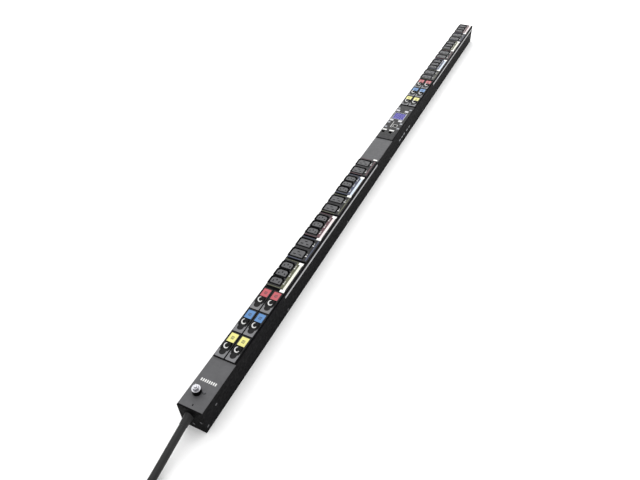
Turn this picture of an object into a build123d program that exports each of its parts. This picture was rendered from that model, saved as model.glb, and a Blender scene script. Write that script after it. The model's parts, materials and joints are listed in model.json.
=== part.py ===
from build123d import *
import math
import os

# Zero-U rack power strip: a tall, slim strip that lies on its rear face.
# X runs across the strip, Y along it from the cord end to the far end, Z out of its front face.
# All sizes are in millimetres; the origin is at the middle of the rear face.

# ---------------------------------------------------------------- driving dimensions
LENGTH = 1890.0
WIDTH = 52.0
DEPTH = 62.0
WALL = 1.5
EDGE_RADIUS = 1.0
GAP = 0.1

CAP_PLATE = 3.0
CAP_SPIGOT = 9.0
SPIGOT_WALL = 2.1

CORD_PANEL_END = 112.0
BREAKER_PITCH = 64.0
BREAKER_ROWS = 3
NEAR_BANK_START = 112.0
FAR_BANK_START = 1163.5
OUTLET_STARTS = (307.0, 1357.5)
C13_PITCH = 93.5
C19_PITCH = 83.0
CONTROL_START = 953.5
CONTROL_END = 1160.5

RAISE = 3.0
FACE_Z = DEPTH + RAISE
FLANGE_HALF = 24.3
BODY_HALF = 22.3
LIP_HALF = 22.6
FLANGE_NEAR = 4.5
FLANGE_FAR = 1.0
BODY_INSET = 1.6
BODY_BOTTOM = 40.0
MOAT_BOTTOM = 48.0

SCREW_HEAD_R = 2.9
SCREW_SHANK_R = 1.5
INSERT_SPACING = 1556.0
INSERT_BORE_R = 2.5
INSERT_OUTER_R = 4.0
INSERT_LENGTH = 12.0

CORD_D = 14.5


def along(distance):
    """Turns a distance from the cord end into a Y position."""
    return distance - LENGTH / 2


def block(x0, x1, y0, y1, z0, z1):
    """A box between two opposite corners, given axis by axis in either order."""
    return Pos((x0 + x1) / 2, (y0 + y1) / 2, (z0 + z1) / 2) * Box(abs(x1 - x0), abs(y1 - y0), abs(z1 - z0))


def rod_z(x, y, z0, z1, radius):
    return Pos(x, y, (z0 + z1) / 2) * Cylinder(radius, z1 - z0)


def rod_x(x0, x1, y, z, radius):
    return Pos((x0 + x1) / 2, y, z) * Rot(0, 90, 0) * Cylinder(radius, abs(x1 - x0))


def rod_y(x, y0, y1, z, radius):
    return Pos(x, (y0 + y1) / 2, z) * Rot(90, 0, 0) * Cylinder(radius, y1 - y0)


def prism(outline, z0, z1):
    """A solid with straight sides over a closed outline of (x, y) points."""
    face = make_face(Polyline(*[(x, y, 0) for x, y in outline], close=True))
    return Pos(0, 0, z0) * extrude(face, z1 - z0, dir=(0, 0, 1))


def rounded_block(x0, x1, y0, y1, z0, z1, radius):
    """A block with its four upright edges rounded."""
    body = block(x0, x1, y0, y1, z0, z1)
    return fillet(body.edges().filter_by(Axis.Z), radius)


def top_edges(shape, axis):
    """The edges of the highest face that run along an axis."""
    return shape.faces().sort_by(Axis.Z)[-1].edges().filter_by(axis)


# ---------------------------------------------------------------- housing
PANEL_ZONES = ((CAP_PLATE, CORD_PANEL_END), (OUTLET_STARTS[0] + 3 * (C13_PITCH + C19_PITCH), CONTROL_START))
STRIP_Z = (49.0, 55.0)
STRIP_THICK = 0.6
STRIP_SPANS = ((304.0, 837.0), (1358.0, 1884.0))
ARM_SCREW = (40.0, 36.0)
CORNER_SCREW = (8.0, 12.0)
SIDE_SCREWS = (
    CORNER_SCREW,
    ARM_SCREW,
    (LENGTH - ARM_SCREW[0], ARM_SCREW[1]),
    (LENGTH - CORNER_SCREW[0], CORNER_SCREW[1]),
)
SPINE_SCREWS = (310.0, 630.0, 945.0, 1260.0, 1580.0)
SPINE_SCREW_Z = 8.0


def side_profile(side):
    """A folded side of the housing: a tall wall with a narrow lip along its front edge."""
    near, far = along(CAP_PLATE), along(LENGTH - CAP_PLATE)
    inner, outer_x = side * (WIDTH / 2 - WALL), side * WIDTH / 2
    wall = block(inner, outer_x, near, far, 0, DEPTH)
    lip = block(side * LIP_HALF, inner, near, far, DEPTH - WALL, DEPTH)
    profile = wall + lip
    outer = [e for e in top_edges(profile, Axis.Y) if abs(e.center().X - outer_x) < 0.01]
    profile = fillet(outer, EDGE_RADIUS)
    for start, end in PANEL_ZONES:
        profile -= block(-WIDTH / 2, WIDTH / 2, along(start), along(end), DEPTH - WALL, DEPTH)
    if side > 0:
        for start, end in STRIP_SPANS:
            profile -= block(WIDTH / 2 - STRIP_THICK, WIDTH / 2, along(start), along(end), *STRIP_Z)
    for screw in screws_on_side(side):
        profile -= screw
    return profile


def screw_places():
    places = list(SIDE_SCREWS)
    places += [(distance, SPINE_SCREW_Z) for distance in SPINE_SCREWS]
    return places


def side_screw(side, distance, height):
    """A countersunk screw, its head flush with the outside of a side wall."""
    x = side * WIDTH / 2
    head = Rot(0, side * 90, 0) * Cone(SCREW_SHANK_R, SCREW_HEAD_R, 1.4)
    head = Pos(x - side * 0.7, along(distance), height) * head
    shank = rod_x(x - side * 6.0, x - side * 1.4, along(distance), height, SCREW_SHANK_R)
    return head + shank


def screws_on_side(side):
    return [side_screw(side, distance, height) for distance, height in screw_places()]


def driven_screw(side, distance, height):
    """The same screw with a square-ended drive recess."""
    screw = side_screw(side, distance, height)
    x = side * WIDTH / 2
    for turn in (0, 90):
        screw -= Pos(x, along(distance), height) * Rot(turn, 0, 0) * Box(2.0, 2.6, 0.7)
    return screw


def make_rear_cover():
    """The flat rear wall with two low inner flanges that the side screws hold."""
    half = WIDTH / 2 - WALL - GAP
    y0, y1 = along(CAP_PLATE + CAP_SPIGOT + 1.0), along(LENGTH - CAP_PLATE - CAP_SPIGOT - 1.0)
    cover = block(-half, half, y0, y1, 0, WALL)
    for side in (-1, 1):
        cover += block(side * half, side * (half - WALL), y0, y1, WALL, 14.0)
        for distance in SPINE_SCREWS:
            cover -= rod_x(side * half - 5, side * half + 5, along(distance), SPINE_SCREW_Z, SCREW_SHANK_R)
        cover -= rod_z(0, side * INSERT_SPACING / 2, 0, WALL, INSERT_OUTER_R)
    return cover


def make_mount_inserts():
    """Two threaded bushes pressed into the rear wall, flush with it."""
    inserts = []
    for side in (-1, 1):
        y = side * INSERT_SPACING / 2
        bush = rod_z(0, y, 0, INSERT_LENGTH, INSERT_OUTER_R)
        bush += rod_z(0, y, WALL, WALL + 1.0, INSERT_OUTER_R + 1.5)
        inserts.append(bush - rod_z(0, y, 0, INSERT_LENGTH, INSERT_BORE_R))
    return inserts


def front_panel(start, end):
    """A plain front panel whose long edges are rounded like the housing's own."""
    panel = block(-WIDTH / 2, WIDTH / 2, along(start), along(end), DEPTH - WALL, DEPTH)
    return fillet(top_edges(panel, Axis.Y), EDGE_RADIUS)


STUD_X = -6.5
STUD_ALONG = 35.0
STUD_R = 3.0
COLLAR_R = 8.5
COLLAR_H = 10.5
SPARE_HOLE = (1.4, 10.5)
PANEL_SCREW = (6.0, 39.0)


def make_cord_end_panel():
    panel = front_panel(CAP_PLATE, CORD_PANEL_END)
    panel -= rod_z(STUD_X, along(STUD_ALONG), DEPTH - WALL, DEPTH, STUD_R)
    panel -= rod_z(PANEL_SCREW[0], along(PANEL_SCREW[1]), DEPTH - WALL, DEPTH, SCREW_SHANK_R)
    x, distance = SPARE_HOLE
    slot = block(x - 1.1, x + 1.1, along(distance - 2), along(distance + 2), DEPTH - WALL, DEPTH)
    return panel - fillet(slot.edges().filter_by(Axis.Z), 1.0)


def make_panel_screw():
    x, distance = PANEL_SCREW
    head = rod_z(x, along(distance), DEPTH, DEPTH + 1.8, 3.0)
    head = fillet(head.faces().sort_by(Axis.Z)[-1].edges(), 1.0)
    screw = head + rod_z(x, along(distance), DEPTH - 5.0, DEPTH, SCREW_SHANK_R)
    for turn in (0, 90):
        screw -= Pos(x, along(distance), DEPTH + 1.8) * Rot(0, 0, turn) * Box(3.2, 0.8, 1.8)
    return screw


def make_middle_panel():
    return front_panel(*PANEL_ZONES[1])


def end_cap(side):
    """A moulded cap: a plate over the end, a hollow spigot inside the walls, two arms for screws."""
    y_out = side * LENGTH / 2
    y_in = y_out - side * CAP_PLATE
    y_deep = y_in - side * CAP_SPIGOT
    y_arm = y_out - side * (ARM_SCREW[0] + 6.0)
    plate = block(-WIDTH / 2, WIDTH / 2, y_out, y_in, 0, DEPTH)
    plate = fillet(plate.edges().filter_by(Axis.Y).sort_by(Axis.Z)[-2:], EDGE_RADIUS)
    half = WIDTH / 2 - WALL
    spigot = block(-half, half, y_in, y_deep, 0.0, DEPTH - WALL)
    inner = half - SPIGOT_WALL
    core = block(-inner, inner, y_in, y_deep, 6.0, DEPTH - WALL)
    cap = plate + spigot - core
    for edge in (-1, 1):
        cap += block(edge * half, edge * inner, y_deep, y_arm, ARM_SCREW[1] - 6, ARM_SCREW[1] + 6)
        for distance, height in (CORNER_SCREW, ARM_SCREW):
            cap -= side_screw(edge, LENGTH / 2 + side * (LENGTH / 2 - distance), height)
    return cap


CORD_X = -4.0
CORD_Z = 39.2
GLAND_LENGTH = 20.0
GLAND_DROOP = 12.0
GLAND_TIP_OUT = GLAND_LENGTH * math.cos(math.radians(GLAND_DROOP))
GLAND_TIP_DROP = GLAND_LENGTH * math.sin(math.radians(GLAND_DROOP))
GLAND_NECK_R = CORD_D / 2 + 1.5
CAP_SCREWS = ((0.5, 14.0), (19.5, 30.0))


def make_cord_end_cap():
    cap = end_cap(-1)
    cap -= rod_y(CORD_X, along(0), along(CAP_PLATE), CORD_Z, GLAND_NECK_R)
    for x, z in CAP_SCREWS:
        cap -= rod_y(x, along(0), along(1.2), z, 3.2)
        cap -= rod_y(x, along(1.2), along(CAP_PLATE), z, SCREW_SHANK_R)
    return cap



def cap_screw(x, z):
    """A pan-head screw sunk in a round pocket of the cord-end cap."""
    head = rod_y(x, along(0.2), along(1.2), z, 2.8)
    shank = rod_y(x, along(1.2), along(CAP_PLATE), z, SCREW_SHANK_R)
    screw = head + shank
    for turn in (0, 90):
        screw -= Pos(x, along(0.2), z) * Rot(0, turn, 0) * Box(3.0, 1.0, 0.7)
    return screw


def make_case_screws():
    screws = []
    for side in (-1, 1):
        screws += [driven_screw(side, distance, height) for distance, height in screw_places()]
    screws += [cap_screw(x, z) for x, z in CAP_SCREWS]
    return screws + [make_panel_screw()]


def make_side_label_strips():
    return [
        block(WIDTH / 2 - STRIP_THICK, WIDTH / 2, along(start), along(end), *STRIP_Z)
        for start, end in STRIP_SPANS
    ]


# ---------------------------------------------------------------- earth terminal
def make_earth_collar():
    """The black insulating collar that the earth stud stands in."""
    collar = rod_z(STUD_X, along(STUD_ALONG), DEPTH, DEPTH + COLLAR_H, COLLAR_R)
    return collar - rod_z(STUD_X, along(STUD_ALONG), DEPTH, DEPTH + COLLAR_H, STUD_R)


def make_earth_stud():
    """The stud with its wide washer and domed nut, three separate pieces."""
    x, y = STUD_X, along(STUD_ALONG)
    washer_z = DEPTH + COLLAR_H
    nut_z = washer_z + 1.4
    stud = rod_z(x, y, 50.0, nut_z + 7.5, STUD_R)
    stud += rod_z(x, y, DEPTH - WALL - 2.5, DEPTH - WALL, 6.0)
    stud = chamfer(stud.faces().sort_by(Axis.Z)[-1].edges(), 0.6)
    washer = rod_z(x, y, washer_z, nut_z, COLLAR_R) - rod_z(x, y, washer_z, nut_z, STUD_R)
    washer = fillet(washer.faces().sort_by(Axis.Z)[-1].edges().sort_by(SortBy.LENGTH)[-1:], 0.6)
    nut = Pos(x, y, nut_z) * extrude(RegularPolygon(5.8, 6), 5.2)
    nut = nut & (Pos(x, y, nut_z + 2.6) * Cylinder(5.6, 5.2))
    nut = nut - rod_z(x, y, nut_z, nut_z + 5.2, STUD_R)
    return [stud, washer, nut]


# ---------------------------------------------------------------- breakers
BEZEL_HALF = 11.1
CASE_HALF = 10.5
CELL_X = 12.0
BEZEL_START = 0.7
BEZEL_LENGTH = 62.6
BEZEL_TOP = DEPTH + 3.4
CASE_BOTTOM = 28.0
LOBE_CENTRE = 13.5
LOBE_R = 5.3
WIDE_START = 19.4
WIDE_END = 37.8
POCKET_END = 38.4
WIDE_HALF = 8.5
LABEL_START = 39.0
LABEL_END = 60.9
LABEL_THICK = 0.5
PIVOT_ALONG = 22.5
PIVOT_DROP = 6.5
ROCKER_CLEARANCE = 0.5
TRUNNION_R = 1.6
TRUNNION_CLEARANCE = 0.05
ROCKER_TRAVEL = 22.0


def breaker_cells(bank_start):
    """(row, centre x, start of the row) for the six breakers of a bank."""
    return [
        (row, side * CELL_X, along(bank_start + row * BREAKER_PITCH))
        for row in range(BREAKER_ROWS)
        for side in (-1, 1)
    ]


def keyhole(x, y, half, lobe_r, wide_start, wide_end, z0, z1):
    """The outline shared by a rocker and its opening: a round lobe that widens to a broad paddle."""
    lobe = rod_z(x, y + LOBE_CENTRE, z0, z1, lobe_r)
    neck = block(x - lobe_r, x + lobe_r, y + LOBE_CENTRE, y + wide_start + 1.0, z0, z1)
    wide = rounded_block(x - half, x + half, y + wide_start, y + wide_end, z0, z1, 3.0)
    return lobe + neck + wide


def make_breaker(x, y):
    case = block(x - CASE_HALF, x + CASE_HALF, y + 2.0, y + 62.0, CASE_BOTTOM, DEPTH)
    near = y + BEZEL_START
    bezel = block(x - BEZEL_HALF, x + BEZEL_HALF, near, near + BEZEL_LENGTH, DEPTH, BEZEL_TOP)
    bezel = chamfer(bezel.faces().sort_by(Axis.Z)[-1].edges(), 0.35)
    body = case + bezel
    lobe = LOBE_R + ROCKER_CLEARANCE
    body -= keyhole(x, y, WIDE_HALF, lobe, WIDE_START, POCKET_END, BEZEL_TOP - 14.0, BEZEL_TOP)
    left, right = x - WIDE_HALF, x + WIDE_HALF
    body -= rounded_block(left, right, y + LABEL_START, y + LABEL_END, BEZEL_TOP - 1.0, BEZEL_TOP, 0.8)
    pivot_z = BEZEL_TOP - PIVOT_DROP
    body -= rod_x(x - 10.0, x + 10.0, y + PIVOT_ALONG, pivot_z, TRUNNION_R + TRUNNION_CLEARANCE)
    return body


def make_rocker(x, y):
    """A rocker held on two trunnions: its round near lobe is pressed in, its far paddle stands proud."""
    rise = math.tan(math.radians(ROCKER_TRAVEL))
    profile = (
        (-15.0, 1.6), (-15.0, 6.0), (0.0, 6.0), (11.0, 6.0 + 11.0 * rise),
        (11.9, 9.3), (13.0, 3.6), (4.5, -3.2),
        (-4.5, -3.2),
    )
    pivot_y, pivot_z = y + PIVOT_ALONG, BEZEL_TOP - PIVOT_DROP
    points = [(x, pivot_y + v, pivot_z + w) for v, w in profile]
    face = make_face(Polyline(*points, close=True))
    slab = Pos(-12, 0, 0) * extrude(face, 24, dir=(1, 0, 0))
    half = WIDE_HALF - 0.6
    outline = keyhole(x, y, half, LOBE_R, WIDE_START + 1.6, WIDE_END, BEZEL_TOP - 13.0, BEZEL_TOP + 9.0)
    paddle = slab & outline
    ridge = [e for e in paddle.edges().filter_by(Axis.X) if e.center().Z > BEZEL_TOP + 2.0]
    paddle = fillet(ridge, 0.9) if ridge else paddle
    return paddle + rod_x(x - half - 1.4, x + half + 1.4, pivot_y, pivot_z, TRUNNION_R)


def make_breaker_label(x, y):
    z = BEZEL_TOP - 1.0
    label = block(x - WIDE_HALF + 0.3, x + WIDE_HALF - 0.3, y + LABEL_START + 0.3, y + LABEL_END - 0.3, z,
                  z + LABEL_THICK)
    return fillet(label.edges().filter_by(Axis.Z), 0.6)


# ---------------------------------------------------------------- outlets
C13_RING = (29.5, 21.6)
C13_ISLAND = (24.0, 16.2)
C13_STEP = 25.0
C13_FIRST = 23.6
C13_X = -9.0
C13_CORNER = 5.0
C19_RING = (35.4, 27.0)
C19_ISLAND = (30.2, 21.6)
C19_STEP = 37.5
C19_FIRST = 24.2
C19_X = -6.2
C19_CORNER = 3.2
ISLAND_TOP = FACE_Z - 0.5
SLOT_DEPTH = 13.0


def module_list():
    """(kind, section, start along the strip) of every outlet module, from the cord end on."""
    order = (("c13", "c19") * 3, ("c19", "c13") * 3)
    found = []
    for section, kinds in enumerate(order):
        start = OUTLET_STARTS[section]
        for kind in kinds:
            found.append((kind, section, start))
            start += C13_PITCH if kind == "c13" else C19_PITCH
    return found


def pitch_of(kind):
    return C13_PITCH if kind == "c13" else C19_PITCH


def outlet_centres(kind, start):
    if kind == "c13":
        return [(C13_X, along(start + C13_FIRST + i * C13_STEP)) for i in range(3)]
    return [(C19_X, along(start + C19_FIRST + i * C19_STEP)) for i in range(2)]


def outlet_outline(x, y, size, corner):
    """A rectangle with its two far corners cut off, the shape of an outlet's recess and of its insert."""
    half_x, half_y = size[0] / 2, size[1] / 2
    return (
        (x - half_x, y - half_y), (x + half_x, y - half_y), (x + half_x, y + half_y - corner),
        (x + half_x - corner, y + half_y), (x - half_x + corner, y + half_y),
        (x - half_x, y + half_y - corner),
    )


def make_outlet_module(kind, start):
    """A moulded block of outlets: a flange over the front face and a body behind it, with deep recesses."""
    pitch = pitch_of(kind)
    y0, y1 = along(start + FLANGE_NEAR), along(start + pitch - FLANGE_FAR)
    flange = rounded_block(-FLANGE_HALF, FLANGE_HALF, y0, y1, DEPTH, FACE_Z, 1.2)
    flange = chamfer(flange.faces().sort_by(Axis.Z)[-1].edges(), 0.4)
    module = flange + block(-BODY_HALF, BODY_HALF, y0 + BODY_INSET, y1 - BODY_INSET, BODY_BOTTOM, DEPTH)
    ring, corner = (C13_RING, C13_CORNER) if kind == "c13" else (C19_RING, C19_CORNER)
    for x, y in outlet_centres(kind, start):
        module -= prism(outlet_outline(x, y, ring, corner), MOAT_BOTTOM, FACE_Z)
    return module


def outlet_slots(kind, x, y):
    """(centre x, centre y, width, height) of the line, neutral and earth slots of one outlet."""
    if kind == "c13":
        return [(x - 7, y - 2, 2.4, 4.8), (x + 7, y - 2, 2.4, 4.8), (x, y + 2.4, 2.4, 4.8)]
    return [(x - 7, y - 4, 6.4, 2.6), (x + 7, y - 4, 6.4, 2.6), (x, y + 4.6, 6.4, 2.6)]


def make_outlet_insert(kind, x, y):
    island, corner = (C13_ISLAND, C13_CORNER * 0.8) if kind == "c13" else (C19_ISLAND, C19_CORNER * 0.8)
    insert = prism(outlet_outline(x, y, island, corner), MOAT_BOTTOM, ISLAND_TOP)
    for slot_x, slot_y, width, height in outlet_slots(kind, x, y):
        insert -= block(
            slot_x - width / 2, slot_x + width / 2, slot_y - height / 2, slot_y + height / 2,
            ISLAND_TOP - SLOT_DEPTH,
            ISLAND_TOP,
        )
    return insert


def make_contact(slot_x, slot_y, width, height):
    """A U-shaped contact clip at the bottom of a slot."""
    half_x, half_y = width / 2 - 0.05, height / 2 - 0.05
    z0 = ISLAND_TOP - SLOT_DEPTH
    clip = block(slot_x - half_x, slot_x + half_x, slot_y - half_y, slot_y + half_y, z0, z0 + 9.0)
    if width < height:
        left, right = slot_x - half_x + 0.5, slot_x + half_x - 0.5
        return clip - block(left, right, slot_y - half_y, slot_y + half_y, z0 + 1, z0 + 9.0)
    near, far = slot_y - half_y + 0.5, slot_y + half_y - 0.5
    return clip - block(slot_x - half_x, slot_x + half_x, near, far, z0 + 1, z0 + 9.0)


def make_outlet_inserts():
    inserts = []
    for kind, _, start in module_list():
        inserts += [make_outlet_insert(kind, x, y) for x, y in outlet_centres(kind, start)]
    return inserts


def make_outlet_contacts():
    clips = []
    for kind, _, start in module_list():
        for x, y in outlet_centres(kind, start):
            clips += [make_contact(*slot) for slot in outlet_slots(kind, x, y)]
    return clips


BRACKET_X = (16.6, 22.0)
BRACKET_END_X = (12.6, 23.0)
BRACKET_TOP = FACE_Z + 1.0
BRACKET_REACH = 3.6
BRACKET_END = 7.0


def make_group_bracket(start):
    """The flat white bracket beside three outlets; its wide end bridges the gap before the module."""
    near = along(start - BRACKET_REACH)
    far = along(start + C13_PITCH - FLANGE_FAR - 2.0)
    bracket = block(*BRACKET_X, near, far, FACE_Z, BRACKET_TOP)
    bracket += block(*BRACKET_END_X, near, near + BRACKET_END, FACE_Z, BRACKET_TOP)
    return bracket + block(*BRACKET_END_X, far - BRACKET_END, far, FACE_Z, BRACKET_TOP)


def make_end_clip(distance):
    return block(*BRACKET_END_X, along(distance), along(distance + 6.0), DEPTH, DEPTH + 2.0)


def make_group_brackets():
    brackets = [make_group_bracket(start) for kind, _, start in module_list() if kind == "c13"]
    return brackets + [make_end_clip(OUTLET_STARTS[0] + 3 * (C13_PITCH + C19_PITCH))]


def make_front_ribs():
    """The narrow webs of the front face between the modules."""
    edges = []
    for kind, _, start in module_list():
        edges.append((start + FLANGE_NEAR + BODY_INSET, start + pitch_of(kind) - FLANGE_FAR - BODY_INSET))
    gaps = []
    gaps.append((NEAR_BANK_START + BREAKER_ROWS * BREAKER_PITCH - 1.9, edges[0][0] - GAP))
    for i in list(range(5)) + list(range(6, 11)):
        gaps.append((edges[i][1] + GAP, edges[i + 1][0] - GAP))
    gaps.append((CONTROL_END - 1.2, FAR_BANK_START + 1.9))
    gaps.append((FAR_BANK_START + BREAKER_ROWS * BREAKER_PITCH - 1.9, edges[6][0] - GAP))
    gaps.append((edges[11][1] + GAP, LENGTH - CAP_PLATE))
    half = LIP_HALF
    ribs = [block(-half, half, along(a), along(b), DEPTH - WALL, DEPTH) for a, b in gaps]
    ribs.append(block(-half, half, along(edges[5][1] + GAP), along(PANEL_ZONES[1][0]), DEPTH - WALL, DEPTH))
    return ribs


# ---------------------------------------------------------------- control module
CONTROL_TOP = DEPTH + 2.4
CONTROL_BOTTOM = 36.0
SOCKET_PLACES = ((-16.4, 991.5), (5.5, 991.5))
SOCKET_SIZE = (9.6, 12.4)
SENSOR_PLACE = (6.0, 1032.0)
SENSOR_SIZE = (9.0, 9.6)
PORT_WALL = 1.0
PORT_DEPTH = 14.0
BUTTON_PLACES = {
    "button_menu": (-16.0, 1061.5),
    "button_back": (11.0, 1061.5),
    "button_down": (-16.0, 1122.5),
    "button_up": (11.0, 1122.5),
}
BUTTON_SIZE = (11.4, 9.6)
BUTTON_STAND = 1.8
BUTTON_GAP = 0.3
BUTTON_FOOT_TOP = DEPTH - 3.0
BUTTON_FOOT_BOTTOM = DEPTH - 4.5
BUTTON_FOOT_REACH = 0.9
DISPLAY_X = (-19.0, 15.0)
DISPLAY_ALONG = (1072.5, 1110.5)


def port_places():
    places = [(x, distance, *SOCKET_SIZE) for x, distance in SOCKET_PLACES]
    return places + [(*SENSOR_PLACE, *SENSOR_SIZE)]


def make_control_bezel():
    """The raised moulding of the meter: windows for the display, the buttons and the ports."""
    y0, y1 = along(CONTROL_START + 1.2), along(CONTROL_END - 0.6)
    bezel = rounded_block(-FLANGE_HALF, FLANGE_HALF, y0, y1, DEPTH, CONTROL_TOP, 1.2)
    bezel = chamfer(bezel.faces().sort_by(Axis.Z)[-1].edges(), 0.4)
    bezel += block(-BODY_HALF, BODY_HALF, y0 + BODY_INSET, y1 - BODY_INSET, CONTROL_BOTTOM, DEPTH)
    for x, distance, width, height in port_places():
        w, h = width / 2 + PORT_WALL, height / 2 + PORT_WALL
        bezel -= block(x - w, x + w, along(distance) - h, along(distance) + h, CONTROL_BOTTOM, CONTROL_TOP)
    for x, distance in BUTTON_PLACES.values():
        w, h = BUTTON_SIZE[0] / 2 + BUTTON_GAP, BUTTON_SIZE[1] / 2 + BUTTON_GAP
        near, far = along(distance) - h, along(distance) + h
        bezel -= rounded_block(x - w, x + w, near, far, DEPTH - 6, CONTROL_TOP, 1.4)
        w, h = w + BUTTON_FOOT_REACH, h + BUTTON_FOOT_REACH
        near, far = along(distance) - h, along(distance) + h
        bezel -= block(x - w, x + w, near, far, DEPTH - 6, BUTTON_FOOT_TOP + GAP)
    near, far = along(DISPLAY_ALONG[0]), along(DISPLAY_ALONG[1])
    bezel -= rounded_block(*DISPLAY_X, near, far, DEPTH - 8, CONTROL_TOP, 1.0)
    return bezel


def make_display_window():
    near, far = along(DISPLAY_ALONG[0]), along(DISPLAY_ALONG[1])
    return rounded_block(*DISPLAY_X, near, far, CONTROL_TOP - 2.0, CONTROL_TOP, 1.0)


def make_lcd_panel():
    """The display's glass cell on its small circuit board."""
    x0, x1 = DISPLAY_X
    y0, y1 = along(DISPLAY_ALONG[0]), along(DISPLAY_ALONG[1])
    cell = block(x0 + 1.0, x1 - 1.0, y0 + 1.0, y1 - 1.0, CONTROL_TOP - 4.6, CONTROL_TOP - 2.0)
    board = block(x0 + 0.5, x1 - 0.5, y0 + 0.5, y1 - 0.5, CONTROL_TOP - 6.2, CONTROL_TOP - 4.6)
    return [cell, board]


def make_network_ports():
    """Two network sockets and a smaller sensor socket, each an open-fronted shell."""
    ports = []
    for x, distance, width, height in port_places():
        w, h = width / 2, height / 2
        y = along(distance)
        half_x, half_y = w + PORT_WALL, h + PORT_WALL
        shell = block(x - half_x, x + half_x, y - half_y, y + half_y, 46.0, CONTROL_TOP)
        shell -= block(x - w, x + w, y - h, y + h, CONTROL_TOP - PORT_DEPTH, CONTROL_TOP)
        ports.append(shell)
    return ports


def make_button(x, distance):
    """A soft-cornered push button whose wide foot stays behind the bezel."""
    w, h = BUTTON_SIZE[0] / 2, BUTTON_SIZE[1] / 2
    y = along(distance)
    cap = rounded_block(x - w, x + w, y - h, y + h, BUTTON_FOOT_TOP, CONTROL_TOP + BUTTON_STAND, 1.2)
    cap = fillet(cap.faces().sort_by(Axis.Z)[-1].edges(), 0.8)
    w, h = w + BUTTON_FOOT_REACH, h + BUTTON_FOOT_REACH
    return cap + block(x - w, x + w, y - h, y + h, BUTTON_FOOT_BOTTOM, BUTTON_FOOT_TOP)


# ---------------------------------------------------------------- inside the housing
CONDUCTOR_X = (-16.0, -8.0, 0.0, 8.0, 16.0)
CONDUCTOR_Z = (14.0, 24.0)
TERMINALS = (30.0, 74.0)
SUPPORTS = (400.0, 620.0, 840.0, 1060.0, 1280.0, 1500.0, 1800.0)


def make_insulators():
    """The supply terminal block and the low blocks that the conductors rest on."""
    base = block(-20, 20, along(TERMINALS[0]), along(TERMINALS[1]), WALL, CONDUCTOR_Z[1])
    for x in CONDUCTOR_X:
        base -= rod_z(x, along(52), 12.0, CONDUCTOR_Z[1], 2.6)
    return [base] + [block(-20, 20, along(d - 5), along(d + 5), WALL, CONDUCTOR_Z[0]) for d in SUPPORTS]


def make_busbars():
    """Five flat conductors that run behind the breakers and outlets of both sections."""
    return [block(x - 1, x + 1, along(TERMINALS[1]), along(LENGTH - 14), *CONDUCTOR_Z) for x in CONDUCTOR_X]


# ---------------------------------------------------------------- supply cord
TIE_THICK = 1.2
TIE_WIDTH = 12.0
TIE_TURNS = (325.0, 200.0)
COIL_ROWS = 3
COIL_LAYERS = 2
COIL_OUTER = 87.0
LOOSE_TURN = 78.0
COIL_X = CORD_X + COIL_OUTER
COIL_Y = along(-205.0)
COIL_TOP = TIE_THICK + COIL_LAYERS * CORD_D
COIL_R_OUT = COIL_OUTER + CORD_D / 2
COIL_R_IN = COIL_OUTER - (COIL_ROWS - 0.5) * CORD_D
FLOOR_Z = TIE_THICK + CORD_D / 2

PLUG_R = 29.0
PLUG_X = COIL_X - LOOSE_TURN
PLUG_Y = COIL_Y - 6.0
PLUG_Z = COIL_TOP + PLUG_R
PLUG_TAIL = 24.0
PLUG_BODY = 58.0
BLADE_LENGTH = 17.0

COIL_EDGE = 6.5

# The cord from its gland down to the surface and on to the coil.
ROUTE_TO_COIL = [
    (CORD_X, along(-GLAND_TIP_OUT), CORD_Z - GLAND_TIP_DROP),
    (CORD_X, along(-58.0), CORD_Z - 12.9),
    (CORD_X, along(-98.0), CORD_Z - 22.9),
    (CORD_X, along(-137.0), FLOOR_Z),
    (CORD_X, along(-171.0), FLOOR_Z),
]

# The last part, which lies over the coil: (turn about the coil in degrees, height of the cord's middle).
OVER_COIL = (
    (66.0, 31.0), (82.0, 34.8), (98.0, 38.0), (114.0, 41.4), (130.0, 45.6), (146.0, 50.4), (162.0, 55.0),
)


def fillet_radii(points):
    """The arc radius at each inner point: 0.45 of the shorter run over the tangent of half the turn."""
    radii = []
    for before, here, after in zip(points, points[1:], points[2:]):
        first = Vector(*here) - Vector(*before)
        second = Vector(*after) - Vector(*here)
        turn = math.radians(first.get_angle(second))
        radii.append(0.45 * min(first.length, second.length) / math.tan(turn / 2))
    return radii


def cord_piece(points):
    """A round cord along straight runs joined by tangent arcs."""
    radii = fillet_radii(points)
    path = FilletPolyline(*points, radius=radii)
    start = Vector(*points[1]) - Vector(*points[0])
    section = Plane(origin=points[0], z_dir=start) * Circle(CORD_D / 2)
    tube = sweep(section, path=path)
    section_length = tube.volume / (math.pi * (CORD_D / 2) ** 2)
    print("cord radii", [round(r) for r in radii])
    print("cord length", round(path.length, 1), "from volume", round(section_length, 1))
    return tube


def route_to_plug():
    """The cord from the top of the coil round to the plug's tail."""
    points = []
    for turn, height in OVER_COIL:
        angle = math.radians(turn)
        points.append((COIL_X + LOOSE_TURN * math.cos(angle), COIL_Y + LOOSE_TURN * math.sin(angle), height))
    return points + [(PLUG_X, PLUG_Y, PLUG_Z)]


def make_cord_tube():
    return [cord_piece(ROUTE_TO_COIL), cord_piece(route_to_plug())]


def make_cord_coil():
    """The wound length of the cord as one ring, three turns wide and two turns high, its edges round."""
    ring = rod_z(COIL_X, COIL_Y, TIE_THICK, COIL_TOP, COIL_R_OUT)
    ring -= rod_z(COIL_X, COIL_Y, TIE_THICK, COIL_TOP, COIL_R_IN)
    return fillet(ring.edges().filter_by(GeomType.CIRCLE), COIL_EDGE)


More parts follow.
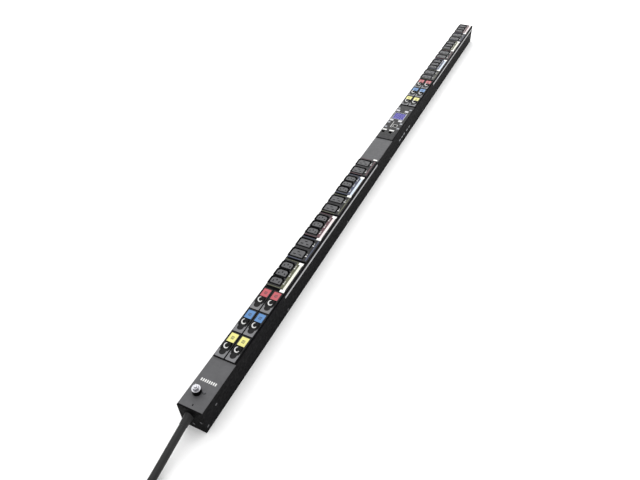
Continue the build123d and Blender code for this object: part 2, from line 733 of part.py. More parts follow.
def make_cord_tie():
    """Two straps round the ring of the coil."""
    coil = make_cord_coil()
    ties = []
    for turn in TIE_TURNS:
        strap = block(
            COIL_R_IN - TIE_THICK, COIL_R_OUT + TIE_THICK, -TIE_WIDTH / 2, TIE_WIDTH / 2,
            0, COIL_TOP + TIE_THICK,
        )
        strap = fillet(strap.edges().filter_by(Axis.Y), COIL_EDGE + TIE_THICK)
        strap = Pos(COIL_X, COIL_Y, 0) * Rot(0, 0, turn) * strap
        ties.append(strap - coil)
    return ties


def make_cord_gland():
    """The tapered strain relief where the cord leaves the cord-end cap, with a flange inside the cap."""
    root = 3.0
    boot = Cone(9.1, 7.7, GLAND_LENGTH + root, align=(Align.CENTER, Align.CENTER, Align.MIN))
    boot = Pos(CORD_X, along(0), CORD_Z) * Rot(90 + GLAND_DROOP, 0, 0) * Pos(0, 0, -root) * boot
    boot -= block(-WIDTH / 2, WIDTH / 2, along(0), along(GLAND_LENGTH), 0, DEPTH)
    neck = rod_y(CORD_X, along(0), along(CAP_PLATE), CORD_Z, GLAND_NECK_R)
    flange = rod_y(CORD_X, along(CAP_PLATE), along(CAP_PLATE + 4.0), CORD_Z, GLAND_NECK_R + 2.0)
    return boot + neck + flange


def make_plug_body():
    """A round locking plug: a tapered tail with a clamp ring, and a wide grip with a flat front."""
    tail_end = PLUG_Y - PLUG_TAIL
    front = tail_end - PLUG_BODY
    outline = (
        (0, PLUG_Y), (10.0, PLUG_Y), (12.0, PLUG_Y - 8), (17.0, PLUG_Y - 10),
        (18.0, tail_end), (26.0, tail_end - 6), (27.0, tail_end - 34), (PLUG_R, tail_end - 36),
        (PLUG_R, front + 1.5), (PLUG_R - 1.5, front), (0, front),
    )
    face = make_face(Polyline(*[(r, y, 0) for r, y in outline], close=True))
    body = Pos(PLUG_X, 0, PLUG_Z) * revolve(face, Axis.Y)
    for blade in make_plug_pins():
        body -= blade
    return body


def make_plug_pins():
    """Four blades on a circle and a round pin in the middle, let into the plug's front."""
    front = PLUG_Y - PLUG_TAIL - PLUG_BODY
    pins = [rod_y(PLUG_X, front - BLADE_LENGTH, front + 6, PLUG_Z, 2.8)]
    for turn in (45, 135, 225, 315):
        blade = block(11.0, 12.6, front - BLADE_LENGTH, front + 6, -4.5, 4.5)
        blade = chamfer(blade.faces().sort_by(Axis.Y)[0].edges().filter_by(Axis.Z), 0.5)
        pins.append(Pos(PLUG_X, 0, PLUG_Z) * Rot(0, turn, 0) * blade)
    return pins


# ---------------------------------------------------------------- writing the nodes
def write(node, shapes):
    """Writes one node; a list becomes a group of separate solids."""
    if isinstance(shapes, (list, tuple)):
        solids = [solid for shape in shapes for solid in shape.solids()]
        shapes = Compound(children=solids)
    export_step(shapes, f"parts/{node}.step")


def write_breakers():
    colours = ("yellow", "blue", "red")
    cases, labels = [], {colour: [] for colour in colours}
    for bank, start in (("near", NEAR_BANK_START), ("far", FAR_BANK_START)):
        for row, x, y in breaker_cells(start):
            side = "left" if x < 0 else "right"
            cases.append(make_breaker(x, y))
            labels[colours[row]].append(make_breaker_label(x, y))
            write(f"rocker_{bank}_{row + 1}_{side}", make_rocker(x, y))
    write("breakers", cases)
    for colour in colours:
        write(f"breaker_labels_{colour}", labels[colour])


def write_modules():
    counts = {"c13": 0, "c19": 0}
    for kind, _, start in module_list():
        counts[kind] += 1
        write(f"{kind}_module_{counts[kind]}", make_outlet_module(kind, start))


def main():
    os.makedirs("parts", exist_ok=True)
    write("left_side_profile", side_profile(-1))
    write("right_side_profile", side_profile(1))
    write("rear_cover", make_rear_cover())
    write("rear_mount_inserts", make_mount_inserts())
    write("cord_end_panel", make_cord_end_panel())
    write("middle_panel", make_middle_panel())
    write("front_ribs", make_front_ribs())
    write("cord_end_cap", make_cord_end_cap())
    write("far_end_cap", end_cap(1))
    write("case_screws", make_case_screws())
    write("side_label_strips", make_side_label_strips())
    write("earth_collar", make_earth_collar())
    write("earth_stud", make_earth_stud())
    write("insulators", make_insulators())
    write("busbars", make_busbars())
    write_breakers()
    write_modules()
    write("outlet_inserts", make_outlet_inserts())
    write("outlet_contacts", make_outlet_contacts())
    write("group_brackets", make_group_brackets())
    write("control_bezel", make_control_bezel())
    write("display_window", make_display_window())
    write("lcd_panel", make_lcd_panel())
    write("network_ports", make_network_ports())
    for name, (x, distance) in BUTTON_PLACES.items():
        write(name, make_button(x, distance))
    write("cord_gland", make_cord_gland())
    write("cord_tube", make_cord_tube())
    write("cord_coil", make_cord_coil())
    write("cord_tie", make_cord_tie())
    write("plug_body", make_plug_body())
    write("plug_pins", make_plug_pins())


main()
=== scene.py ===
import json
import math
import bmesh
import bpy
from mathutils import Matrix, Vector


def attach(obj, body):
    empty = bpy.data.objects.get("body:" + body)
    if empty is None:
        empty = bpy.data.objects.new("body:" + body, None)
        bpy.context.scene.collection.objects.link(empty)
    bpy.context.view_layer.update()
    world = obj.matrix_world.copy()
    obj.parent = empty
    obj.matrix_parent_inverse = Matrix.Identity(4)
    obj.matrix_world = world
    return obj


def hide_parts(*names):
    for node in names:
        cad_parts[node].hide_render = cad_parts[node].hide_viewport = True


# Looks of the rack power strip, in metres in the CAD frame:
# X across the strip, Y along it from the cord end, Z out of its front face.
# Lists of places within a module, a breaker or a print are in millimetres.

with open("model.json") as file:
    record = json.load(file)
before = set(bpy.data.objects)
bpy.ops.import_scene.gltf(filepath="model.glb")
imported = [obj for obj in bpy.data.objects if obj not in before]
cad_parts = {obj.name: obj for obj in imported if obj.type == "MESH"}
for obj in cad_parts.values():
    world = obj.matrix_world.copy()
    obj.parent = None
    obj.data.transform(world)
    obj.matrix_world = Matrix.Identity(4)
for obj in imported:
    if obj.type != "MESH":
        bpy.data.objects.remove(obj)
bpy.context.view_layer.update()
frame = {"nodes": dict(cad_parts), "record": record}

ROOT = "strip"
LENGTH = 1.890
WIDTH = 0.052

# Heights of the front faces, and the thickness of a printed mark.
FRONT = 0.062
MODULE_TOP = 0.065
BEZEL_TOP = 0.0654
CONTROL_TOP = 0.0644
PRINT_RISE = 0.00012


def along(distance):
    """A distance in millimetres from the cord end as a Y position."""
    return distance / 1000 - LENGTH / 2


# ---------------------------------------------------------------- camera
def make_camera():
    """The photograph's viewpoint, solved from the equal spacing of the breakers and modules."""
    data = bpy.data.cameras.new("camera")
    data.sensor_width = 36.0
    data.lens = 30.27
    data.clip_start = 0.02
    data.clip_end = 60.0
    camera = bpy.data.objects.new("camera", data)
    bpy.context.collection.objects.link(camera)
    right = Vector((0.90045, 0.43395, -0.02952))
    up = Vector((-0.27257, 0.61588, 0.73918))
    back = right.cross(up)
    turn = Matrix((right, up, back)).transposed().to_4x4()
    camera.matrix_world = Matrix.Translation((0.44234, -1.27921, 0.90196)) @ turn
    bpy.context.scene.camera = camera


make_camera()

# ---------------------------------------------------------------- cord
CORD_D = 0.0145
TIE_THICK = 0.0012
CORD_X = -0.004
CORD_Z = 0.0392
GLAND_LENGTH = 0.020
GLAND_DROOP = math.radians(12)

# How far the strain relief's tip stands out from the end wall, in millimetres, and how far it droops.
GLAND_TIP_OUT = 1000 * GLAND_LENGTH * math.cos(GLAND_DROOP)
GLAND_TIP_DROP = GLAND_LENGTH * math.sin(GLAND_DROOP)

# The coil: the cord's middle on the floor, the outer turn, the middle of the ring, and the plug on it.
FLOOR_Z = TIE_THICK + CORD_D / 2
COIL_OUTER = 0.087
COIL_X = CORD_X + COIL_OUTER
COIL_Y = along(-205)
COIL_TOP = TIE_THICK + 2 * CORD_D
LOOSE_TURN = 0.078
PLUG_R = 0.029
PLUG_X = COIL_X - LOOSE_TURN
PLUG_Y = COIL_Y - 0.006
PLUG_Z = COIL_TOP + PLUG_R

# The angle at the end of a turn over which the cord passes to the next, and the angle between points.
CHANGE = math.radians(66)
STEP = math.radians(11)


def route_to_coil():
    """The free part of the cord, from the strain relief to where its first turn begins."""
    return [
        (CORD_X, along(-GLAND_TIP_OUT), CORD_Z - GLAND_TIP_DROP),
        (CORD_X, along(-58), CORD_Z - 0.0129),
        (CORD_X, along(-98), CORD_Z - 0.0229),
        (CORD_X, along(-137), FLOOR_Z),
        (CORD_X, along(-171), FLOOR_Z),
    ]


def coil_place(wound):
    """Radius and height of the cord after it has wound through an angle.

    It makes three turns inwards, climbs on to them, and makes three turns outwards.
    """
    turn = 2 * math.pi
    low, high = FLOOR_Z, FLOOR_Z + CORD_D
    inner = COIL_OUTER - 2 * CORD_D
    ring = int(wound // turn)
    part = max(0.0, (wound - ring * turn - (turn - CHANGE)) / CHANGE)
    ease = part * part * (3 - 2 * part)
    if ring < 2:
        return COIL_OUTER - CORD_D * (ring + ease), low
    if ring == 2:
        beside = COIL_OUTER - CORD_D * (1 + ease)
        return beside - CORD_D * math.sqrt(max(0.0, 1 - ease * ease)), low + CORD_D * ease
    if ring < 5:
        return inner + CORD_D * (ring - 3 + ease), high
    return COIL_OUTER, high


# The angle wound when the cord leaves the ring.
LAST_ON_RING = 5 * 2 * math.pi + math.radians(186)

# The last part, over the ring: (turn about the coil in degrees, height of the cord's middle in mm).
OVER_COIL = (
    (66.0, 31.0), (82.0, 34.8), (98.0, 38.0), (114.0, 41.4),
    (130.0, 45.6), (146.0, 50.4), (162.0, 55.0),
)

# The climb on to the ring: (part of the way to its first place, part of a cord's diameter risen).
CLIMB = ((0.20, 0.08), (0.45, 0.32), (0.72, 0.66))
CLIMB_INWARD = 0.0055


def coil_point(angle, radius, height):
    """A point at an angle and a radius about the coil's middle."""
    return COIL_X + radius * math.cos(angle), COIL_Y + radius * math.sin(angle), height


def coil_points():
    """The turns of the coil, wound anticlockwise from its left side."""
    points = []
    steps = int(LAST_ON_RING / STEP)
    for i in range(1, steps + 1):
        wound = i * STEP
        points.append(coil_point(math.pi + wound, *coil_place(wound)))
    return points


def points_over_coil():
    """The last part, which climbs over the ring to the plug's tail."""
    points = []
    start = math.degrees(math.pi + int(LAST_ON_RING / STEP) * STEP) - 6 * 360
    for part, rise in CLIMB:
        angle = math.radians(start + (OVER_COIL[0][0] - start) * part)
        lift = FLOOR_Z + CORD_D + CORD_D * rise
        radius = LOOSE_TURN - CLIMB_INWARD + CORD_D * math.sqrt(max(0.0, 1 - rise * rise))
        points.append(coil_point(angle, radius, lift))
    for turn, height in OVER_COIL:
        height = max(height / 1000, COIL_TOP + CORD_D / 2)
        points.append(coil_point(math.radians(turn), LOOSE_TURN, height))
    return points + [(PLUG_X, PLUG_Y + 0.012, PLUG_Z - 0.001), (PLUG_X, PLUG_Y, PLUG_Z)]


def make_cord():
    curve = bpy.data.curves.new("supply_cord", "CURVE")
    curve.dimensions = "3D"
    curve.bevel_depth = CORD_D / 2
    curve.bevel_resolution = 8
    curve.resolution_u = 6
    curve.use_fill_caps = True
    points = route_to_coil() + coil_points() + points_over_coil()
    spline = curve.splines.new("NURBS")
    spline.points.add(len(points) - 1)
    for place, point in zip(spline.points, points):
        place.co = (*point, 1.0)
    spline.order_u = 3
    spline.use_endpoint_u = True
    cord = bpy.data.objects.new("supply_cord", curve)
    bpy.context.collection.objects.link(cord)
    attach(cord, ROOT)
    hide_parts("cord_tube", "cord_coil")
    return cord


def cord_length(cord):
    """Length of the cord's own line, measured along the finished curve."""
    cord.data.bevel_depth = 0.0
    graph = bpy.context.evaluated_depsgraph_get()
    graph.update()
    mesh = cord.evaluated_get(graph).to_mesh()
    places = [vertex.co for vertex in mesh.vertices]
    total = sum((places[edge.vertices[0]] - places[edge.vertices[1]]).length for edge in mesh.edges)
    cord.data.bevel_depth = CORD_D / 2
    return total


supply_cord = make_cord()
CORD_LENGTH = cord_length(supply_cord)
print("cord length", round(CORD_LENGTH, 4))


# ---------------------------------------------------------------- materials
MATERIALS = {}


def new_material(name):
    """A material with a bare Principled shader, kept in MATERIALS under its name."""
    material = bpy.data.materials.new(name)
    MATERIALS[name] = material
    material.use_nodes = True
    nodes = material.node_tree.nodes
    nodes.clear()
    output = nodes.new("ShaderNodeOutputMaterial")
    shader = nodes.new("ShaderNodeBsdfPrincipled")
    material.node_tree.links.new(shader.outputs["BSDF"], output.inputs["Surface"])
    return material, shader


def noise(material, scale, detail=4.0, stretch=None):
    """A noise texture in object coordinates, in metres."""
    nodes, links = material.node_tree.nodes, material.node_tree.links
    coords = nodes.new("ShaderNodeTexCoord")
    texture = nodes.new("ShaderNodeTexNoise")
    texture.inputs["Scale"].default_value = scale
    texture.inputs["Detail"].default_value = detail
    source = coords.outputs["Object"]
    if stretch:
        mapping = nodes.new("ShaderNodeMapping")
        mapping.inputs["Scale"].default_value = stretch
        links.new(source, mapping.inputs["Vector"])
        source = mapping.outputs["Vector"]
    links.new(source, texture.inputs["Vector"])
    return texture.outputs["Fac"]


def spread(material, source, low, high, limits=(0.3, 0.7)):
    """Maps a 0 to 1 value onto a range of values."""
    node = material.node_tree.nodes.new("ShaderNodeMapRange")
    node.inputs["From Min"].default_value = limits[0]
    node.inputs["From Max"].default_value = limits[1]
    node.inputs["To Min"].default_value = low
    node.inputs["To Max"].default_value = high
    material.node_tree.links.new(source, node.inputs["Value"])
    return node.outputs["Result"]


def blend_colours(material, factor, first, second):
    node = material.node_tree.nodes.new("ShaderNodeMix")
    node.data_type = "RGBA"
    node.inputs["A"].default_value = (*first, 1.0)
    node.inputs["B"].default_value = (*second, 1.0)
    material.node_tree.links.new(factor, node.inputs["Factor"])
    return node.outputs["Result"]


def surface(name, colour, rough, grain=900.0, grain_depth=0.00002, vary=0.12, metal=0.0, specular=0.5,
            stretch=None):
    """A moulded, painted or metal surface with fine grain, uneven roughness and slight tone changes."""
    material, shader = new_material(name)
    links = material.node_tree.links
    tone = noise(material, 38.0, 5.0, stretch)
    darker = tuple(c * (1 - vary) for c in colour)
    lighter = tuple(min(1.0, c * (1 + vary)) for c in colour)
    mixed = blend_colours(material, spread(material, tone, 0.0, 1.0), darker, lighter)
    links.new(mixed, shader.inputs["Base Color"])
    marks = noise(material, 160.0, 8.0, stretch)
    links.new(spread(material, marks, rough * 0.8, min(1.0, rough * 1.2)), shader.inputs["Roughness"])
    shader.inputs["Metallic"].default_value = metal
    shader.inputs["Specular IOR Level"].default_value = specular
    bump = material.node_tree.nodes.new("ShaderNodeBump")
    bump.inputs["Strength"].default_value = 0.5
    bump.inputs["Distance"].default_value = grain_depth
    links.new(noise(material, grain, 3.0, stretch), bump.inputs["Height"])
    links.new(bump.outputs["Normal"], shader.inputs["Normal"])
    return material


def glow(name, colour, strength, rough=0.2):
    """A lit surface with a soft uneven brightness."""
    material, shader = new_material(name)
    links = material.node_tree.links
    patch = noise(material, 60.0, 2.0)
    dim = tuple(c * 0.85 for c in colour)
    mixed = blend_colours(material, spread(material, patch, 0.0, 1.0), dim, colour)
    links.new(mixed, shader.inputs["Base Color"])
    links.new(mixed, shader.inputs["Emission Color"])
    shader.inputs["Emission Strength"].default_value = strength
    links.new(spread(material, patch, rough * 0.8, rough * 1.3), shader.inputs["Roughness"])


# Painted light: the front and the side walls have one dark finish. front_paint is given a lighter
# colour that paints in the sheen of the overhead light on the front. side_paint is near black to paint
# in the shade on the side walls.
surface("side_paint", (0.0030, 0.0029, 0.0034), 0.68, 1500.0, 0.00003, specular=0.05)
surface("front_paint", (0.070, 0.070, 0.074), 0.52, 1500.0, 0.00003, 0.08, specular=0.30)
surface("black_steel", (0.09, 0.09, 0.096), 0.36, 1400.0, 0.00001, metal=0.8)
surface("black_plastic", (0.0018, 0.0018, 0.0020), 0.60, 1200.0, 0.00003, specular=0.03)
surface("zinc_steel", (0.36, 0.36, 0.38), 0.30, 1400.0, 0.00001, metal=1.0, stretch=(1, 1, 6))
surface("label_grey", (0.36, 0.36, 0.37), 0.40, 900.0, 0.00001, 0.05)
surface("insulator_plastic", (0.68, 0.64, 0.55), 0.50)
surface("copper", (0.72, 0.36, 0.20), 0.32, metal=1.0, stretch=(6, 1, 1))
surface("outlet_contact_brass", (0.70, 0.52, 0.24), 0.30, metal=1.0)
surface("breaker_body", (0.0055, 0.0055, 0.0062), 0.48, 1300.0, 0.00002, 0.08, specular=0.18)
surface("module_plastic", (0.0060, 0.0058, 0.0072), 0.48, 1300.0, 0.00002, 0.10, specular=0.22)
surface("bezel_plastic", (0.012, 0.012, 0.013), 0.48, 1300.0, 0.00002, 0.08, specular=0.20)
surface("insert_grey", (0.045, 0.045, 0.049), 0.50, 1300.0, 0.00002, 0.08)
surface("bracket_white", (0.72, 0.72, 0.70), 0.40, 900.0, 0.00001, 0.04)
glow("lcd", (0.12, 0.10, 0.42), 0.65)
surface("socket_black", (0.008, 0.008, 0.009), 0.40)
surface("cord_jacket", (0.0085, 0.0085, 0.0088), 0.50, 700.0, 0.00004, 0.15, specular=0.35)
surface("tie_strap", (0.016, 0.016, 0.018), 0.90, 2600.0, 0.00025, 0.25)
surface("plug_brass", (0.76, 0.60, 0.32), 0.22, metal=1.0, stretch=(1, 6, 1))
surface("label_yellow", (0.60, 0.57, 0.16), 0.35, 900.0, 0.00001, 0.05)
surface("label_blue", (0.035, 0.150, 0.36), 0.35, 900.0, 0.00001, 0.06)
surface("label_red", (0.36, 0.035, 0.050), 0.35, 900.0, 0.00001, 0.06)
surface("rocker_plastic", (0.0035, 0.0035, 0.004), 0.42, 1200.0, 0.00002, specular=0.12)
surface("button_plastic", (0.45, 0.45, 0.47), 0.55, 1600.0, 0.00004)
surface("plate_grey", (0.115, 0.115, 0.122), 0.48, 1300.0, 0.00002, 0.06)
surface("print_white", (0.60, 0.60, 0.59), 0.45, 1200.0, 0.00001, 0.06)
surface("print_grey", (0.24, 0.25, 0.27), 0.50, 1200.0, 0.00001, 0.10)
surface("print_black", (0.012, 0.012, 0.012), 0.45, 1200.0, 0.00001, 0.06)
surface("tint_yellow", (0.060, 0.064, 0.020), 0.45, 1200.0, 0.00001, 0.15)
surface("tint_blue", (0.016, 0.028, 0.075), 0.45, 1200.0, 0.00001, 0.15)
surface("tint_red", (0.070, 0.012, 0.022), 0.45, 1200.0, 0.00001, 0.15)
surface("pale_yellow", (0.62, 0.62, 0.52), 0.42, 1200.0, 0.00001, 0.05)
surface("pale_blue", (0.44, 0.53, 0.64), 0.42, 1200.0, 0.00001, 0.05)
surface("pale_red", (0.62, 0.54, 0.55), 0.42, 1200.0, 0.00001, 0.05)


def make_window_glass():
    """The display's clear front: thin, glossy and faintly smoked."""
    material, shader = new_material("display_glass")
    shader.inputs["Base Color"].default_value = (0.75, 0.74, 0.95, 1.0)
    shader.inputs["Transmission Weight"].default_value = 0.95
    shader.inputs["IOR"].default_value = 1.15
    rough = spread(material, noise(material, 90.0), 0.03, 0.09)
    material.node_tree.links.new(rough, shader.inputs["Roughness"])


make_window_glass()


def dress_cad_nodes():
    """Gives every CAD node the look of its material slot."""
    for entry in frame["record"]["subparts"]:
        node = frame["nodes"].get(entry["node"])
        if node is None:
            continue
        slots = node.data.materials
        slots.clear()
        slots.append(MATERIALS[entry["material_slot"]])


dress_cad_nodes()
supply_cord.data.materials.append(MATERIALS["cord_jacket"])


# ---------------------------------------------------------------- helpers for added pieces
def mesh_piece(name, build, body, look):
    """A mesh made by build(bm), riding on a body, with the named look."""
    mesh = bpy.data.meshes.new(name)
    bm = bmesh.new()
    build(bm)
    bmesh.ops.recalc_face_normals(bm, faces=bm.faces)
    bm.to_mesh(mesh)
    bm.free()
    mesh.materials.append(MATERIALS[look])
    piece = bpy.data.objects.new(name, mesh)
    bpy.context.collection.objects.link(piece)
    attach(piece, body)
    return piece


def add_plate(bm, outline, z0, z1):
    """A thin plate over a closed outline."""
    low = [bm.verts.new((x, y, z0)) for x, y in outline]
    high = [bm.verts.new((x, y, z1)) for x, y in outline]
    bm.faces.new(high)
    bm.faces.new(list(reversed(low)))
    for i in range(len(outline)):
        j = (i + 1) % len(outline)
        bm.faces.new((low[i], low[j], high[j], high[i]))


def add_slab(bm, x0, x1, y0, y1, z0, z1, round_off=0.0):
    """A thin slab with its upright corners rounded."""
    corners = []
    reach = min(round_off, (x1 - x0) / 2, (y1 - y0) / 2)
    centres = ((x1 - reach, y1 - reach, 0), (x0 + reach, y1 - reach, 90), (x0 + reach, y0 + reach, 180),
               (x1 - reach, y0 + reach, 270))
    for cx, cy, start in centres:
        steps = 4 if reach > 0 else 0
        for i in range(steps + 1):
            angle = math.radians(start + (90 * i / steps if steps else 0))
            corners.append((cx + reach * math.cos(angle), cy + reach * math.sin(angle)))
    add_plate(bm, corners, z0, z1)


def add_ring(bm, outer, inner, z0, z1):
    """A flat frame between two outlines with the same number of points."""
    rows = [[bm.verts.new((x, y, z)) for x, y in outline] for outline, z in
            ((outer, z0), (outer, z1), (inner, z1), (inner, z0))]
    count = len(outer)
    for first, second in zip(rows, rows[1:] + rows[:1]):
        for i in range(count):
            j = (i + 1) % count
            bm.faces.new((first[i], first[j], second[j], second[i]))


def print_mark(bm, x0, x1, y0, y1, base, round_off=0.0, layers=1):
    """A thin printed mark, its place in millimetres across the strip and from the cord end."""
    top = base + layers * PRINT_RISE
    add_slab(bm, x0 / 1000, x1 / 1000, along(y0), along(y1), base, top, round_off)


def box_outline(x0, x1, y0, y1):
    return ((x0, y0), (x1, y0), (x1, y1), (x0, y1))


def print_frame(bm, outer, inner, base, rise=PRINT_RISE):
    """A thin printed frame between two boxes, given in millimetres as (x0, x1, y0, y1)."""
    outlines = [[(x / 1000, along(y)) for x, y in box_outline(*box)] for box in (outer, inner)]
    add_ring(bm, *outlines, base, base + rise)


# ---------------------------------------------------------------- outlet modules
SECTION_STARTS = (307.0, 1357.5)
SECTION_ORDER = (("c13", "c19") * 3, ("c19", "c13") * 3)
PHASES = ("yellow", "blue", "red")

# For each kind of module, in millimetres: its length, its outlets' places, and the openings' size.
OUTLETS = {
    "c13": {"pitch": 93.5, "x": -9.0, "first": 23.6, "step": 25.0, "count": 3, "ring": (29.5, 21.6),
            "corner": 5.0},
    "c19": {"pitch": 83.0, "x": -6.2, "first": 24.2, "step": 37.5, "count": 2, "ring": (35.4, 27.0),
            "corner": 3.2},
}

# Width of the collar round an outlet in millimetres, and its rise; the height of a bracket's face.
COLLAR = 1.3
COLLAR_RISE = 0.0005
BRACKET_TOP = 0.0660


def all_modules():
    """(kind, phase colour, start) of each module, in millimetres from the cord end."""
    found = []
    for start, order in zip(SECTION_STARTS, SECTION_ORDER):
        for place, kind in enumerate(order):
            found.append((kind, PHASES[place % 3], start))
            start += OUTLETS[kind]["pitch"]
    return found


def outlet_outline(x, distance, size, corner, grow=0.0):
    """The outlet's outline with its two far corners cut off, in metres."""
    half_x, half_y = size[0] / 2 + grow, size[1] / 2 + grow
    points = (
        (-half_x, -half_y), (half_x, -half_y), (half_x, half_y - corner), (half_x - corner, half_y),
        (corner - half_x, half_y), (-half_x, half_y - corner),
    )
    return [((x + u) / 1000, along(distance + v)) for u, v in points]


def outlet_places(kind, start):
    """How far each outlet of a module is from the cord end."""
    facts = OUTLETS[kind]
    return [start + facts["first"] + i * facts["step"] for i in range(facts["count"])]


def module_collars(bm, kind, start):
    facts = OUTLETS[kind]
    for distance in outlet_places(kind, start):
        inner = outlet_outline(facts["x"], distance, facts["ring"], facts["corner"])
        outer = outlet_outline(facts["x"], distance, facts["ring"], facts["corner"], COLLAR)
        add_ring(bm, outer, inner, MODULE_TOP, MODULE_TOP + COLLAR_RISE)


def module_edge_line(bm, kind, start):
    """A thin coloured line along the module's near edge and another along its far edge."""
    pitch = OUTLETS[kind]["pitch"]
    near, far = start + 5.6, start + pitch - 2.2
    print_mark(bm, -23.6, 11.8, near, near + 1.5, MODULE_TOP)
    print_mark(bm, -23.6, 11.8, far - 1.2, far, MODULE_TOP)


def module_band(bm, kind, start):
    """The coloured field beside the outlets."""
    pitch = OUTLETS[kind]["pitch"]
    left, right = (8.6, 12.2) if kind == "c13" else (19.6, 21.6)
    print_mark(bm, left, right, start + 8.0, start + pitch - 5.0, MODULE_TOP)
    if kind == "c13":
        print_mark(bm, 12.9, 16.0, start + 6.0, start + pitch - 12.0, MODULE_TOP)


def module_marks(bm, kind, start):
    """Small rating marks beside each outlet: a short bar and two dots."""
    x, half_bar = (10.4, 1.5) if kind == "c13" else (15.8, 2.2)
    for distance in outlet_places(kind, start):
        spots = [(half_bar, distance - 4.6, distance - 2.2)]
        spots += [(0.8, near, near + 1.5) for near in (distance + 0.6, distance + 3.4)]
        for half, near, far in spots:
            print_mark(bm, x - half, x + half, near, far, MODULE_TOP, 0.0003, layers=2)


def bracket_stripe(bm, start):
    """The pale coloured strip on a bracket."""
    print_mark(bm, 17.4, 21.2, start + 5.0, start + 82.0, BRACKET_TOP)


def dress_modules():
    for index, (kind, phase, start) in enumerate(all_modules()):
        label = f"{kind}_{index + 1}"
        for part, build, look in (
            ("collars", module_collars, "black_plastic"),
            ("edge_line", module_edge_line, f"tint_{phase}"),
            ("band", module_band, f"tint_{phase}"),
            ("marks", module_marks, "print_white"),
        ):
            mesh_piece(f"{part}_{label}", lambda bm: build(bm, kind, start), ROOT, look)
        if kind == "c13":
            mesh_piece(f"stripe_{label}", lambda bm: bracket_stripe(bm, start), ROOT, f"pale_{phase}")


# ---------------------------------------------------------------- breakers
# Where each bank starts and how its breakers and their pivots are placed, in millimetres.
BANKS = {"near": 112.0, "far": 1163.5}
BREAKER_PITCH = 64.0
CELL_X = 12.0
PIVOT_ALONG = 22.5
PIVOT_Z = BEZEL_TOP - 0.0065

# The rocker's face: its height above the pivot at the pivot, and how steeply it rises beyond it.
FACE_HEIGHT = 6.0
SLOPE = math.tan(math.radians(22.0))

# The grey plate's thickness, and the place and height of the label's middle.
PLATE_RISE = 0.00025
LABEL_ALONG = 49.8
LABEL_TOP = BEZEL_TOP - 0.0005


def breaker_plate(bm, x, row_start):
    """The grey plate on the near end of a breaker, in two halves cut away round the rocker's lobe."""
    gap = 6.6
    lobe = 13.5
    arc_steps = 6
    for side in (-1, 1):
        outline = [(side * 10.5, 1.4), (0.0, 1.4)]
        for i in range(arc_steps + 1):
            angle = math.radians(-90 + 90 * i / arc_steps)
            outline.append((side * gap * math.cos(angle), lobe + gap * math.sin(angle)))
        outline += [(side * gap, 17.0), (side * 9.4, 18.6), (side * 9.4, 21.5), (side * 10.5, 22.5)]
        points = [((x + u) / 1000, along(row_start + v)) for u, v in outline]
        add_plate(bm, points, BEZEL_TOP, BEZEL_TOP + PLATE_RISE)


def crescent(bm, x, row_start):
    """A white crescent on a rocker's sloping paddle, following its slope."""
    centre_v, radius, widest = 5.6, 4.7, 1.9
    steps = 18
    rows = []
    for i in range(steps + 1):
        part = i / steps
        angle = math.radians(95 + 250 * part)
        half = 0.25 + widest / 2 * math.sin(math.pi * part) ** 0.7
        ring = []
        inner, outer = radius - half, radius + half
        for reach, lift in ((inner, 0.02), (inner, 0.32), (outer, 0.32), (outer, 0.02)):
            u, v = reach * math.cos(angle), centre_v + reach * math.sin(angle)
            w = FACE_HEIGHT + max(0.0, v) * SLOPE + lift
            place = ((x + u) / 1000, along(row_start + PIVOT_ALONG + v), PIVOT_Z + w / 1000)
            ring.append(bm.verts.new(place))
        rows.append(ring)
    for first, second in zip(rows, rows[1:]):
        for i in range(4):
            j = (i + 1) % 4
            bm.faces.new((first[i], first[j], second[j], second[i]))
    bm.faces.new(rows[0])
    bm.faces.new(list(reversed(rows[-1])))


def label_glyph(bm, x, row_start):
    """A plain mark on a breaker's label: an open square with a bar, not a letter."""
    y = row_start + LABEL_ALONG
    outer = (x - 3.0, x + 3.0, y - 3.4, y + 3.4)
    inner = (x - 2.0, x + 2.0, y - 2.4, y + 2.4)
    print_frame(bm, outer, inner, LABEL_TOP)
    print_mark(bm, x - 0.5, x + 0.5, y - 2.4, y + 2.4, LABEL_TOP)


def on_each_breaker(bm, bank_start, build):
    """Builds the same thing on the six breakers of a bank."""
    for row in range(3):
        for x in (-CELL_X, CELL_X):
            build(bm, x, bank_start + row * BREAKER_PITCH)


def dress_breakers():
    for bank, start in BANKS.items():
        for part, build, look in (
            ("breaker_plates", breaker_plate, "plate_grey"),
            ("label_glyphs", label_glyph, "print_black"),
        ):
            mesh_piece(f"{part}_{bank}", lambda bm: on_each_breaker(bm, start, build), ROOT, look)
        for row in range(3):
            for side, x in (("left", -CELL_X), ("right", CELL_X)):
                rocker = f"rocker_{bank}_{row + 1}_{side}"
                row_start = start + row * BREAKER_PITCH
                mesh_piece(
                    f"crescent_{rocker}", lambda bm: crescent(bm, x, row_start), f"{rocker}_body",
                    "print_white",
                )


# ---------------------------------------------------------------- metering module and cord-end print
def display_frame(bm):
    """The raised frame round the display."""
    outer, inner = (-21.0, 17.0, 1070.6, 1112.4), (-19.0, 15.0, 1072.5, 1110.5)
    print_frame(bm, outer, inner, CONTROL_TOP, rise=0.0003)


def socket_marks(bm):
    """White edges beside the sockets and the line that joins the sensor socket to its mark."""
    for x0, x1 in ((-22.6, -9.8), (-1.6, 13.0)):
        print_mark(bm, x0, x1, 1000.0, 1006.4, CONTROL_TOP, 0.0008)
    print_frame(bm, (-0.4, 12.4, 1024.6, 1039.4), (0.4, 11.6, 1025.8, 1038.2), CONTROL_TOP)
    print_mark(bm, -6.2, -5.0, 1022.0, 1056.0, CONTROL_TOP, 0.0005)
    print_mark(bm, -5.0, -0.6, 1022.0, 1023.2, CONTROL_TOP, 0.0005)


def corner_patches(bm):
    """Lighter patches along both sides of the metering module."""
    for y0, y1 in ((1016.0, 1024.0), (1044.0, 1052.0), (1136.0, 1142.0)):
        print_mark(bm, -22.6, -15.0, y0, y1, CONTROL_TOP, 0.0016)
        print_mark(bm, 15.0, 22.6, y0, y1, CONTROL_TOP, 0.0016)


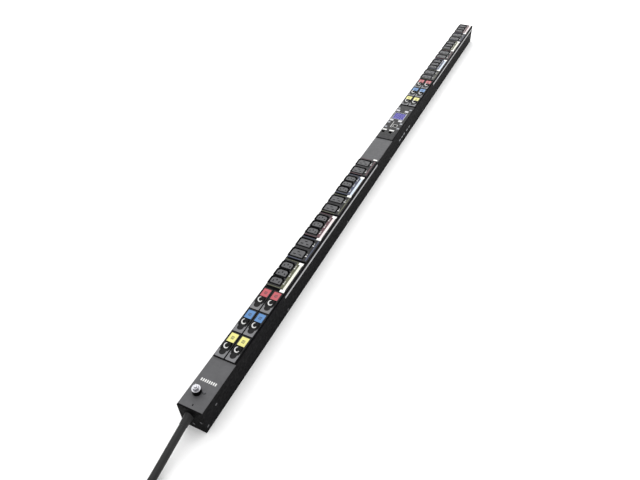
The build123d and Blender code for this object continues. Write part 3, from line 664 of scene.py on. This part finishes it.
def cord_end_print(bm):
    """A row of plain equal bars printed across the cord end."""
    for i in range(8):
        x = -16.2 + 4.4 * i
        print_mark(bm, x, x + 2.6, 58.0, 64.0, FRONT, 0.0004)


def side_marks(bm):
    """Slim plain bars printed on the right side wall beside the metering module."""
    wall = WIDTH / 2 + PRINT_RISE / 2
    middle_z, length, tall = 0.0235, 0.013, 0.0045
    for distance in (1026, 1046, 1066, 1092, 1112):
        place = Matrix.Translation((wall, along(distance), middle_z))
        size = Matrix.Diagonal((PRINT_RISE, length, tall, 1.0))
        bmesh.ops.create_cube(bm, size=1.0, matrix=place @ size)


def plug_ribs(bm):
    """Slim grip ribs round the widest part of the plug."""
    count = 28
    thick, length, wide = 0.0014, 0.018, 0.0024
    ribs_y = PLUG_Y - 0.070
    reach = PLUG_R - 0.0003
    for i in range(count):
        angle = 2 * math.pi * i / count
        across, up = math.cos(angle), math.sin(angle)
        place = Matrix.Translation((PLUG_X + reach * across, ribs_y, PLUG_Z + reach * up))
        shape = Matrix.Rotation(-angle, 4, "Y") @ Matrix.Diagonal((thick, length, wide, 1.0))
        bmesh.ops.create_cube(bm, size=1.0, matrix=place @ shape)


def dress_control():
    mesh_piece("display_frame", display_frame, ROOT, "print_grey")
    mesh_piece("socket_marks", socket_marks, ROOT, "print_white")
    mesh_piece("control_corner_patches", corner_patches, ROOT, "print_grey")
    mesh_piece("cord_end_print", cord_end_print, ROOT, "print_white")
    mesh_piece("side_marks", side_marks, ROOT, "print_grey")
    mesh_piece("plug_ribs", plug_ribs, ROOT, "black_plastic")


dress_modules()
dress_breakers()
dress_control()

# ---------------------------------------------------------------- floor and light
def make_floor():
    mesh = bpy.data.meshes.new("floor")
    bm = bmesh.new()
    half = 14.0
    corners = [bm.verts.new((x, y, 0.0)) for x, y in box_outline(-half, half, -half, half)]
    bm.faces.new(corners)
    bm.to_mesh(mesh)
    bm.free()
    mesh.materials.append(surface("floor_white", (0.93, 0.93, 0.93), 0.75, 60.0, 0.00001, 0.01))
    floor = bpy.data.objects.new("floor", mesh)
    bpy.context.collection.objects.link(floor)


def make_area_light(name, place, target, width, height, power):
    data = bpy.data.lights.new(name, "AREA")
    data.shape = "RECTANGLE"
    data.size = width
    data.size_y = height
    data.energy = power
    light = bpy.data.objects.new(name, data)
    bpy.context.collection.objects.link(light)
    light.location = place
    direction = Vector(target) - Vector(place)
    light.rotation_mode = "QUATERNION"
    light.rotation_quaternion = direction.to_track_quat("-Z", "Y")


def make_studio():
    world = bpy.data.worlds.new("studio")
    bpy.context.scene.world = world
    world.use_nodes = True
    background = world.node_tree.nodes["Background"]
    background.inputs["Color"].default_value = (1.0, 1.0, 1.0, 1.0)
    background.inputs["Strength"].default_value = 1.05
    make_area_light("overhead", (-0.6, 0.2, 2.6), (0, 0, 0), 2.6, 3.2, 46.0)
    make_area_light("far_bank", (-1.2, 2.6, 1.6), (0, 0, 0), 2.4, 1.4, 22.0)
    bpy.context.scene.view_settings.view_transform = "Standard"


make_floor()
make_studio()
